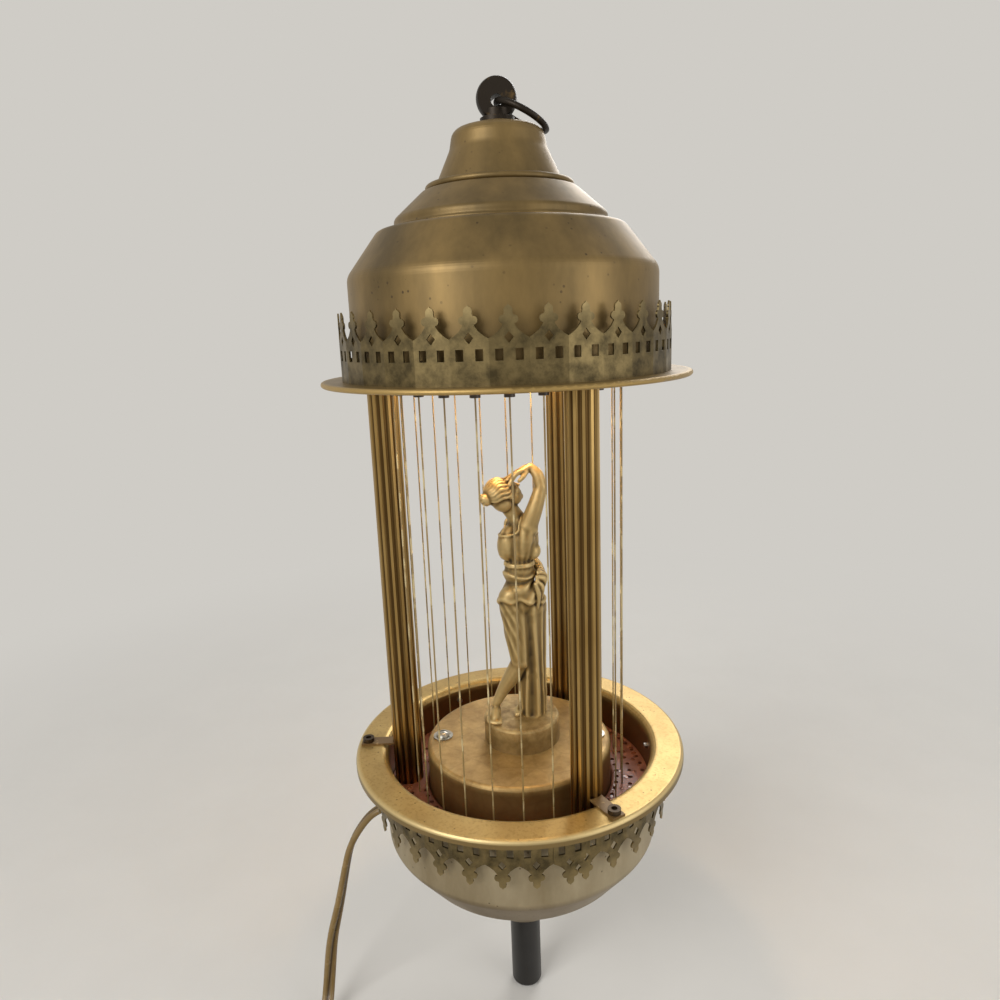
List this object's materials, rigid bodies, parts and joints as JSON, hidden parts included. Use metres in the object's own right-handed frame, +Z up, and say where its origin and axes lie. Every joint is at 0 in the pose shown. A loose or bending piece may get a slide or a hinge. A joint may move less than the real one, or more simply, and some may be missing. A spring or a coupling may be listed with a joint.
{
  "type": "rain lamp",
  "caption": "Hanging rain lamp: oil runs down nylon lines around a draped figure, between a domed canopy and a basin joined by fluted columns, with pierced galleries.",
  "frame": {"origin": "centre of the eye through the finial ball, where the hanging ring passes", "axes": "+Z up along the lamp's axis, -Y towards the side that the picture shows, +X to its right"},
  "size_m": [0.2093, 0.259, 0.4926],
  "materials": {
    "antique_gold_paint": "satin, speckled",
    "beige_gold_paint": "satin",
    "gallery_brass": "aged, dark in the recesses",
    "dark_bronze": "satin",
    "brass": "satin",
    "tray_paint": "satin",
    "dark_plastic": "matte",
    "nylon_line": "clear",
    "bulb_glass": "frosted",
    "gold_anodised": "bright fluted",
    "brown_strap": "satin",
    "black_screw": "satin",
    "drip_red": "satin, oily",
    "pedestal_gold": "mottled satin",
    "statue_bronze": "bronze-coloured satin",
    "steel": "bright",
    "pump_plastic": "natural",
    "laminations": "dark",
    "coil_wrap": "taped",
    "knob_black": "semi-gloss",
    "cord_pvc": "translucent brown"
  },
  "bodies": {
    "lamp": {"finial_loop": "dark_bronze", "lamp_pipe": "brass", "pipe_nuts": "brass", "bell_cap": "antique_gold_paint", "dome_cap": "antique_gold_paint", "canopy_shell": "antique_gold_paint", "shell_screws": "steel", "crown_gallery": "gallery_brass", "brim_plate": "antique_gold_paint", "oil_tray": "tray_paint", "drip_nozzles": "dark_plastic", "rain_lines": "nylon_line", "lamp_socket": "dark_plastic", "bulb_base": "brass", "bulb_glass": "bulb_glass", "column_left": "gold_anodised", "column_right": "gold_anodised", "column_back": "gold_anodised", "tie_pipes": "brass", "oil_riser": "brass", "tie_nuts": "brass", "column_straps": "brown_strap", "flange_screws": "black_screw", "basin": "antique_gold_paint", "drip_plate": "drip_red", "pedestal_cover": "pedestal_gold", "pedestal_posts": "steel", "pedestal_screws": "steel", "plinth": "statue_bronze", "plinth_screw": "steel", "figure": "statue_bronze", "pump_housing": "pump_plastic", "pump_cover": "pump_plastic", "pump_screws": "steel", "idler_pin": "steel", "outlet_tube": "brass", "shaft_seal": "dark_plastic", "motor_stator": "laminations", "motor_coil": "coil_wrap", "motor_bridge_upper": "steel", "motor_bridge_lower": "steel", "motor_rods": "steel", "bowl_shell": "beige_gold_paint", "bowl_gallery": "gallery_brass", "switch_body": "dark_plastic", "switch_nut": "brass", "cord_bushing": "dark_plastic", "cord_lead": "cord_pvc", "cord_coil": "cord_pvc", "cord_tail": "cord_pvc", "cord_ties": "dark_plastic", "plug_body": "cord_pvc", "plug_blades": "brass"},
    "ring": {"hanging_ring": "dark_bronze"},
    "knob": {"switch_shaft": "brass", "switch_knob": "knob_black"},
    "rotor": {"motor_shaft": "steel", "motor_rotor": "laminations", "pump_drive_gear": "pump_plastic"},
    "idler": {"pump_idler_gear": "pump_plastic"}
  },
  "joints": [
    {"name": "ring_swing", "type": "hinge", "parent": "lamp", "child": "ring", "pos_m": [0, 0, 0], "axis": [0, -1, 0], "range_deg": [0, 236.9]},
    {"name": "knob_turn", "type": "hinge", "parent": "lamp", "child": "knob", "pos_m": [0, 0, -0.4302], "axis": [0, 0, 1], "continuous": true},
    {"name": "rotor_spin", "type": "hinge", "parent": "lamp", "child": "rotor", "pos_m": [-0.00611, 0.00352, -0.369], "axis": [0, 0, 1], "continuous": true},
    {"name": "idler_spin", "type": "hinge", "parent": "lamp", "child": "idler", "pos_m": [0.00611, -0.00352, -0.346], "axis": [0, 0, 1], "continuous": true}
  ],
  "couplings": [
    {"joint": "idler_spin", "follows": "rotor_spin", "ratio": -1}
  ]
}
